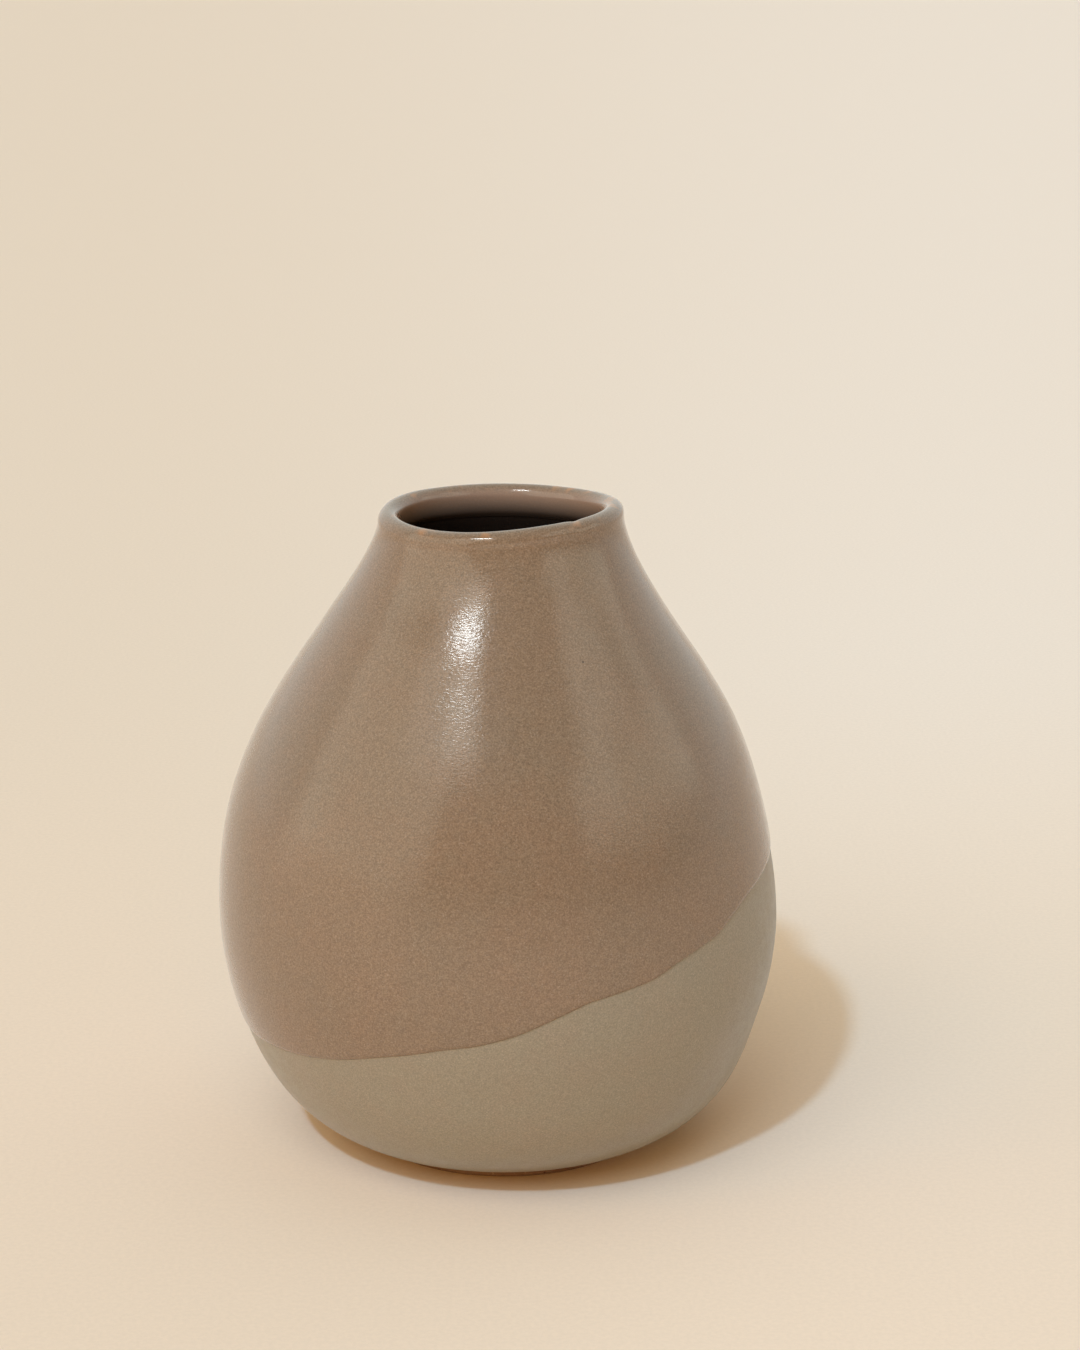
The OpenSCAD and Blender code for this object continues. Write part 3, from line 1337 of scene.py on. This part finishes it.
@dataclass
class Studio:
    """The paper, the lights and the pale room.

    Attributes:
        paper: the paper's finish.
        floor_r: how far the paper reaches.
        floor_corners: how many corners the paper has.
        room: how much light comes from high up all round, for each colour.
        low_room: how much comes from all round at table height.
        low_span: between which heights the low room's light gives way to the room's, as the
            heights of one-unit directions.
        walls: colour of the room's walls, as the glaze mirrors them.
        dark: colour of the dark side of the room, as the glaze mirrors it.
        dark_side: direction of its middle, as degrees of turn and rise.
        dark_span: how much a direction has to point that way for the dark to start and to be full.
        aim: the point that the cards face.
        lights: the lights.
        cards: the cards.
    """

    paper: Paper = field(default_factory=Paper)
    floor_r: float = 8.0
    floor_corners: int = 64
    room: Colour = (0.15, 0.22, 0.16)
    low_room: Colour = (1.35, 0.69, 0.42)
    low_span: Span = (0, 0.6)
    walls: Colour = (1.0, 1.0, 0.94)
    dark: Colour = (0.14, 0.11, 0.09)
    dark_side: tuple[float, float] = (-90, 20)
    dark_span: Span = (-0.6, 0.5)
    aim: Vector = field(default_factory=lambda: Vector((0, 0, 60 * MM)))
    lights: tuple[FarLight, ...] = (
        FarLight("daylight", turn=-113.4, rise=47.8, spread=3, share=(0.14, 0.235, 0.36)),
        FarLight("window_glow", turn=-113, rise=49, spread=40, share=(0.09, 0.18, 0.255)),
        FarLight("front_wall", turn=-116, rise=32, spread=80, share=(0.265, 0.118, 0.0)),
        FarLight("left_wall", turn=178, rise=25, spread=60, share=(0.05, 0.035, 0.015)),
        FarLight("back_window", turn=70, rise=68, spread=70, share=(0.175, 0.16, 0.182)),
    )
    cards: tuple[Card, ...] = (
        Card("high_window", turn=-121.5, rise=57, across=14, tall=5.5, glow=23, colour=(0.92, 0.98, 1.0)),
        Card("low_window", turn=-112, rise=46, across=14, tall=11, glow=2.0, colour=(1.0, 0.96, 0.86)),
        Card("curtain", turn=-134, rise=48, across=18, tall=14, glow=0.8, colour=(1.0, 1.0, 0.9)),
        Card("left_card", turn=-152, rise=26, across=64, tall=40, glow=0.75, colour=(0.98, 1.0, 0.85)),
        Card("low_left_card", turn=-160, rise=3, across=60, tall=16, glow=0.5, colour=(1.0, 0.8, 0.6)),
        Card("side_wall", turn=-41, rise=25, across=20, tall=22, glow=0.8, colour=(1.0, 1.0, 0.85)),
        Card("high_side_wall", turn=-20, rise=43, across=28, tall=14, glow=0.9, colour=(1.0, 1.0, 0.86)),
        Card("right_card", turn=-8, rise=22, across=44, tall=22, glow=0.7, colour=(1.0, 1.0, 0.82)),
    )

    def floor(self) -> None:
        """Lays the paper."""
        turns = [ROUND * i / self.floor_corners for i in range(self.floor_corners)]
        rim = [(self.floor_r * cos(turn), self.floor_r * sin(turn), 0) for turn in turns]
        mesh = bpy.data.meshes.new("paper")
        mesh.from_pydata(rim, [], [tuple(range(self.floor_corners))])
        piece = bpy.data.objects.new("paper", mesh)
        bpy.context.scene.collection.objects.link(piece)
        piece.data.materials.append(self.paper.material())

    def world(self) -> bpy.types.World:
        """Makes the room, which is mirrored dark in front, where the camera stands, and pale elsewhere.

        Returns:
            The world.
        """
        world = bpy.data.worlds.new("room")
        world.cycles.sampling_method = "NONE"
        bench = NodeBench(world, "Generated")
        ways = {0: bench.place, 1: tuple(direction(*self.dark_side))}
        ahead = bench.wired("ShaderNodeVectorMath", "Value", ways, operation="DOT_PRODUCT")
        mirrored = bench.mix(bench.fade(ahead, *self.dark_span), self.walls, self.dark)
        room = bench.mix(bench.fade(bench.part("Z"), *self.low_span), self.low_room, self.room)
        colour = bench.mix(bench.ray("Is Glossy Ray"), room, mirrored)
        seen = bench.sum("MAXIMUM", bench.ray("Is Camera Ray"), bench.ray("Is Transmission Ray"))
        paper = {"Color": bench.mix(seen, colour, self.paper.right)}
        background = bench.wired("ShaderNodeBackground", "Background", paper)
        bench.feed(bench.add("ShaderNodeOutputWorld").inputs["Surface"], background)
        return world

    def light(self) -> None:
        """Sets the room, the lights and the cards."""
        bpy.context.scene.world = self.world()
        for light in self.lights:
            light.place()
        for card in self.cards:
            card.place(self.aim)


@dataclass(frozen=True)
class Camera:
    """The camera at the photograph's angle.

    Attributes:
        place: where it stands.
        pitch: how far it looks down, in degrees.
        field_of_view: its field of view from top to bottom, in degrees.
        sensor: the height of its sensor, in millimetres.
    """

    place: tuple[float, float, float] = (0.00715, -0.51541, 0.21978)
    pitch: float = 15.136
    field_of_view: float = 24.0
    sensor: float = 24.0

    def set_up(self) -> None:
        """Makes it the scene's camera."""
        data = bpy.data.cameras.new("camera")
        data.sensor_fit = "VERTICAL"
        data.sensor_height = self.sensor
        data.lens = self.sensor / 2 / tan(radians(self.field_of_view) / 2)
        camera = bpy.data.objects.new("camera", data)
        camera.location = self.place
        camera.rotation_euler = (radians(90 - self.pitch), 0, 0)
        bpy.context.scene.collection.objects.link(camera)
        bpy.context.scene.camera = camera


def main() -> None:
    """Builds the vase, its studio and the camera."""
    logging.basicConfig(level=logging.INFO, format="%(name)s: %(message)s")
    bpy.context.scene.view_settings.view_transform = "Standard"
    Camera().set_up()
    vase = BudVase()
    Dressing("clay_body", Slot.CLAY, BareClay()).put_on(vase.clay_pot())
    Dressing("liner_glaze", Slot.LINER, LINER_GLAZE).put_on(vase.liner())
    Dressing("base_glaze", Slot.SAGE, SAGE_GLAZE).put_on(vase.sage())
    Dressing("dip_glaze", Slot.TAUPE, TAUPE_GLAZE).put_on(vase.taupe())
    studio = Studio()
    studio.floor()
    studio.light()


if __name__ == "__main__":
    main()
